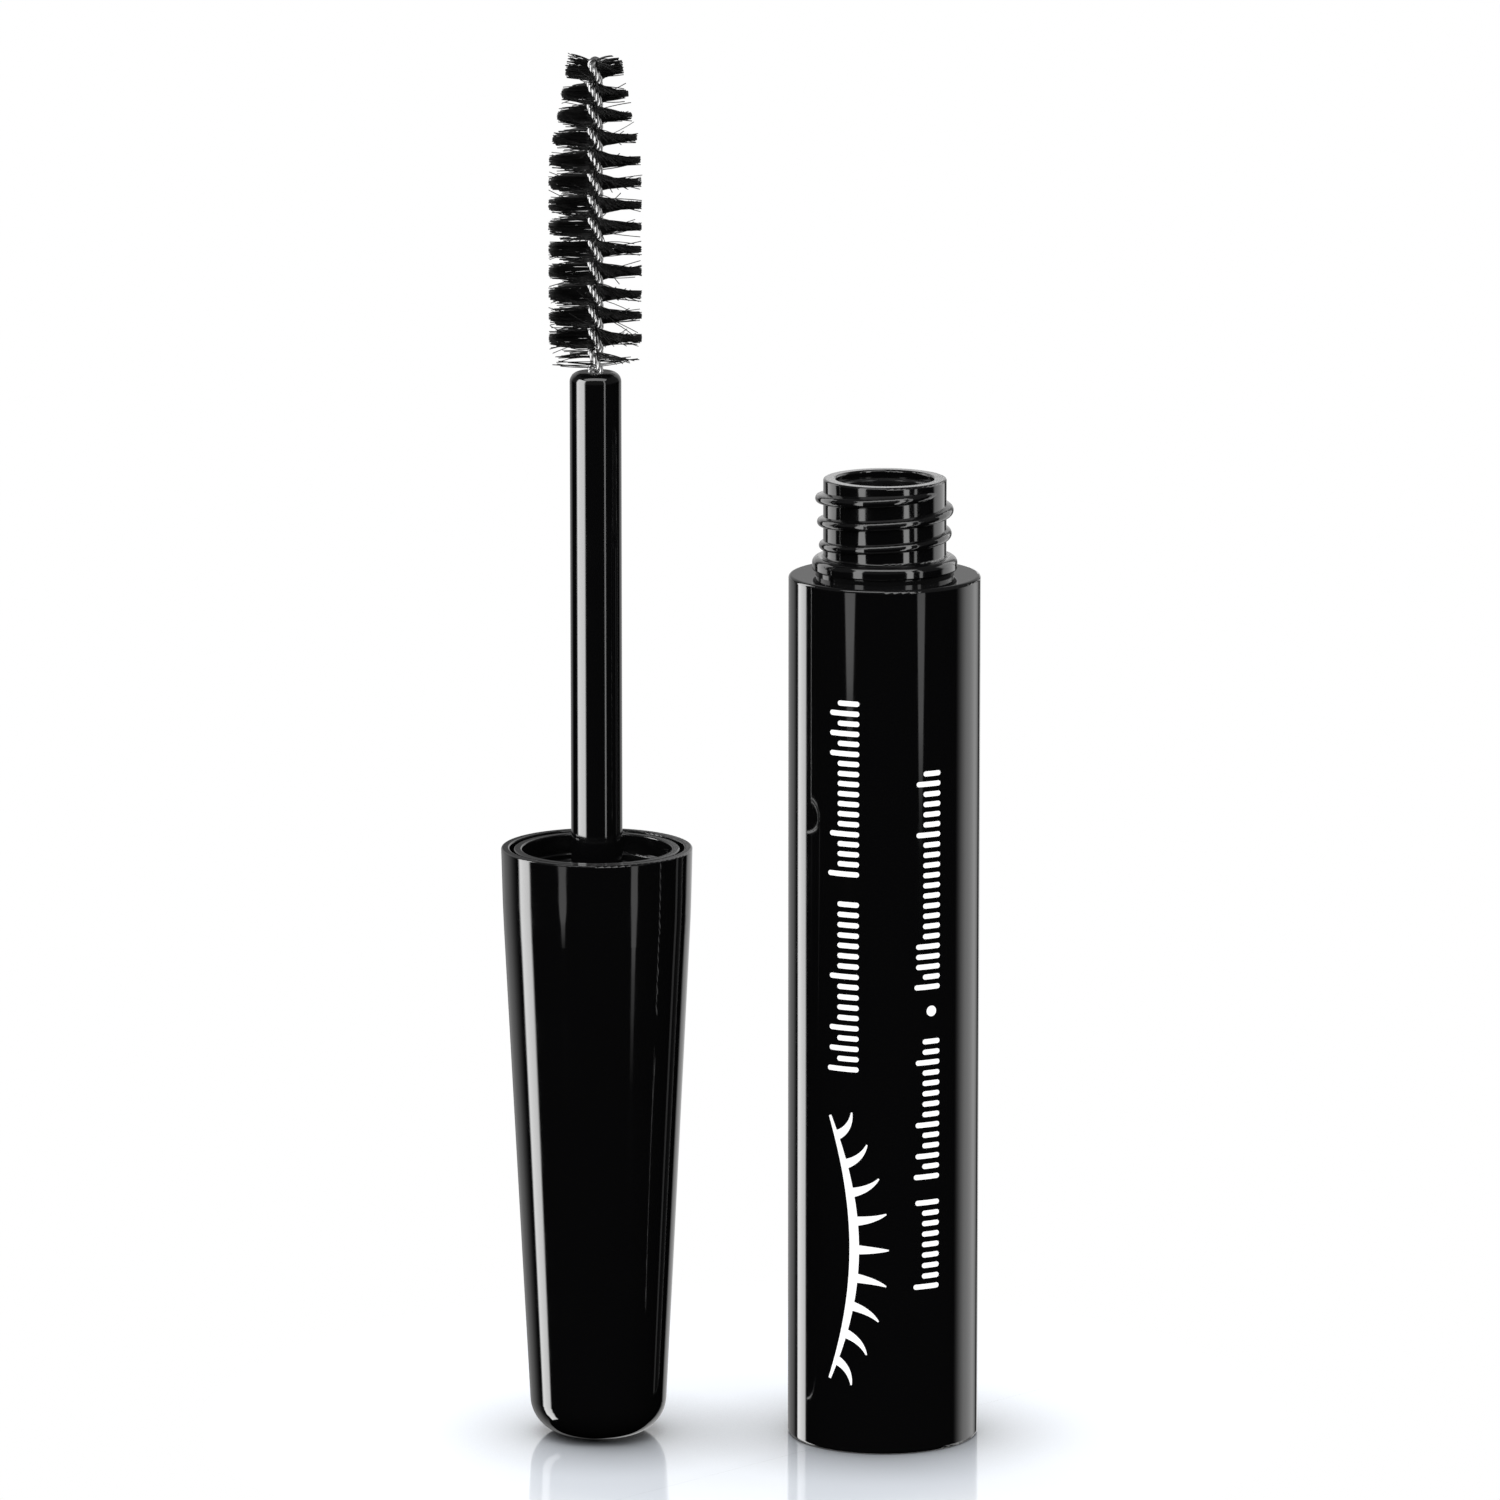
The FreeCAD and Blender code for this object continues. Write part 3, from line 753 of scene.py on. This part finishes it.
card("rod_key", rod_group, WAND_X, (-96, -44), TALL, 13.0, soft=0.4, blockers=wand_pieces)
card("rod_line", rod_group, WAND_X, (39, 46), TALL, 3.6, soft=0.2, blockers=wand_pieces)
card("rod_left_edge", rod_group, WAND_X, (-182, -122), TALL, 0.5, soft=0.7, blockers=wand_pieces)
card("rod_right_edge", rod_group, WAND_X, (126, 182), TALL, 0.6, soft=0.4, blockers=wand_pieces)

card("bristle_left", bristle_group, WAND_X, (-120, -60), TALL, 2.2, soft=0.4)
card("bristle_right", bristle_group, WAND_X, (70, 120), TALL, 1.2, soft=0.4)
card("wire_front", wire_group, WAND_X, (-100, 0), TALL, 1.4, soft=0.35)
card("wire_side", wire_group, WAND_X, (60, 130), TALL, 0.5, soft=0.35)

# A wide panel high in front draws the thin light lines on lips, crests and rims
edge_panel = area_light("edge_panel", EDGE_PANEL_SIZE, energy_for(EDGE_PANEL_SIZE, EDGE_PANEL_RADIANCE),
                        EDGE_PANEL_PLACE, (EDGE_PANEL_TILT, 0, 0))
edge_panel.visible_camera = False
edge_panel.visible_diffuse = False
edge_panel.light_linking.receiver_collection = edge_group
edge_panel.light_linking.blocker_collection = edge_group

# Soft light from above for the table and the cream, kept out of reflections
overhead = area_light("overhead_soft", OVERHEAD_SIZE, OVERHEAD_ENERGY, OVERHEAD_PLACE, OVERHEAD_TILT)
overhead.visible_glossy = False


# ---------------------------------------------------------------- table and studio

def table_material():
    """A white polished table round the object, which runs out into the white of the studio."""
    material, tree, shader = new_material("white_table")
    # Painted contact shade: ambient occlusion darkens the table's colour where it is near the objects
    painted_contact_shade = tree.nodes.new("ShaderNodeAmbientOcclusion")
    painted_contact_shade.inputs["Distance"].default_value = PAINTED_SHADE_DISTANCE
    painted_contact_shade.inputs["Color"].default_value = CONTACT_TINT
    painted_contact_shade.samples = PAINTED_SHADE_SAMPLES
    tree.links.new(painted_contact_shade.outputs["Color"], shader.inputs["Base Color"])
    shader.inputs["IOR"].default_value = PLASTIC_IOR
    ripple = noise(tree, scale=40, detail=2)
    tree.links.new(remap(tree, ripple, (0.3, 0.7), TABLE_ROUGHNESS), shader.inputs["Roughness"])
    place = tree.nodes.new("ShaderNodeTexCoord")
    offset = tree.nodes.new("ShaderNodeVectorMath")
    offset.operation = "SUBTRACT"
    offset.inputs[1].default_value = (TABLE_MIDDLE[0], TABLE_MIDDLE[1], 0)
    tree.links.new(place.outputs["Object"], offset.inputs[0])
    distance = tree.nodes.new("ShaderNodeVectorMath")
    distance.operation = "LENGTH"
    tree.links.new(offset.outputs["Vector"], distance.inputs[0])
    near = remap(tree, distance.outputs["Value"], (TABLE_CLEAR, TABLE_WHITE), (1.0, 0.0), smooth=True)
    white = tree.nodes.new("ShaderNodeEmission")
    white.inputs["Strength"].default_value = 1.0
    mix = tree.nodes.new("ShaderNodeMixShader")
    tree.links.new(near, mix.inputs["Fac"])
    tree.links.new(white.outputs["Emission"], mix.inputs[1])
    tree.links.new(shader.outputs["BSDF"], mix.inputs[2])
    tree.links.new(mix.outputs["Shader"], tree.nodes["Material Output"].inputs["Surface"])
    return material


def build_table():
    """The table top, just under the object, with a white card on each of its four sides."""
    corners = [(-1, -1), (1, -1), (1, 1), (-1, 1)]
    points = [(x * TABLE_HALF_SIZE, y * TABLE_HALF_SIZE, 0) for x, y in corners]
    table = mesh_piece("table_top", points, [(0, 1, 2, 3)], table_material(), smooth=False)
    table.location.z = -TABLE_GAP
    table.visible_glossy = False
    table.visible_diffuse = False
    table_group = light_group("lit_table", (), [table])
    for side in range(4):
        angles = (90 * side - 45, 90 * side + 45)
        card("table_side_%d" % side, table_group, TABLE_MIDDLE[0], angles, TABLE_CARD_HEIGHTS,
             TABLE_CARD_RADIANCE, soft=TABLE_CARD_SOFT, blockers=object_pieces)


def build_world():
    """White for the camera and for soft light.  In reflections, a dim sky and nothing below the horizon."""
    world = bpy.data.worlds.new("studio")
    bpy.context.scene.world = world
    world.use_nodes = True
    tree = world.node_tree
    tree.nodes.clear()
    path = tree.nodes.new("ShaderNodeLightPath")
    place = tree.nodes.new("ShaderNodeTexCoord")
    split = tree.nodes.new("ShaderNodeSeparateXYZ")
    tree.links.new(place.outputs["Generated"], split.inputs["Vector"])
    sky = remap(tree, split.outputs["Z"], (0.0, HORIZON_BLEND), (0.0, SKY_IN_REFLECTIONS))
    seen = tree.nodes.new("ShaderNodeMix")
    tree.links.new(path.outputs["Is Glossy Ray"], seen.inputs["Factor"])
    seen.inputs["A"].default_value = 1.0
    tree.links.new(sky, seen.inputs["B"])
    background = tree.nodes.new("ShaderNodeBackground")
    background.inputs["Color"].default_value = (1, 1, 1, 1)
    tree.links.new(seen.outputs["Result"], background.inputs["Strength"])
    output = tree.nodes.new("ShaderNodeOutputWorld")
    tree.links.new(background.outputs["Background"], output.inputs["Surface"])


def build_camera():
    """The camera, far enough off for a long lens."""
    data = bpy.data.cameras.new("camera")
    data.sensor_width = SENSOR_MM
    data.lens = SENSOR_MM * CAMERA_DISTANCE / FRAME_WIDTH
    data.clip_start = CLIP_START
    camera = bpy.data.objects.new("camera", data)
    towards_camera = Vector((0, -math.cos(CAMERA_TILT), math.sin(CAMERA_TILT)))
    camera.location = LOOK_AT + towards_camera * CAMERA_DISTANCE
    camera.rotation_euler = (math.pi / 2 - CAMERA_TILT, 0, 0)
    bpy.context.scene.collection.objects.link(camera)
    return camera


build_table()
build_world()
bpy.context.scene.camera = build_camera()
bpy.context.scene.view_settings.view_transform = "Standard"
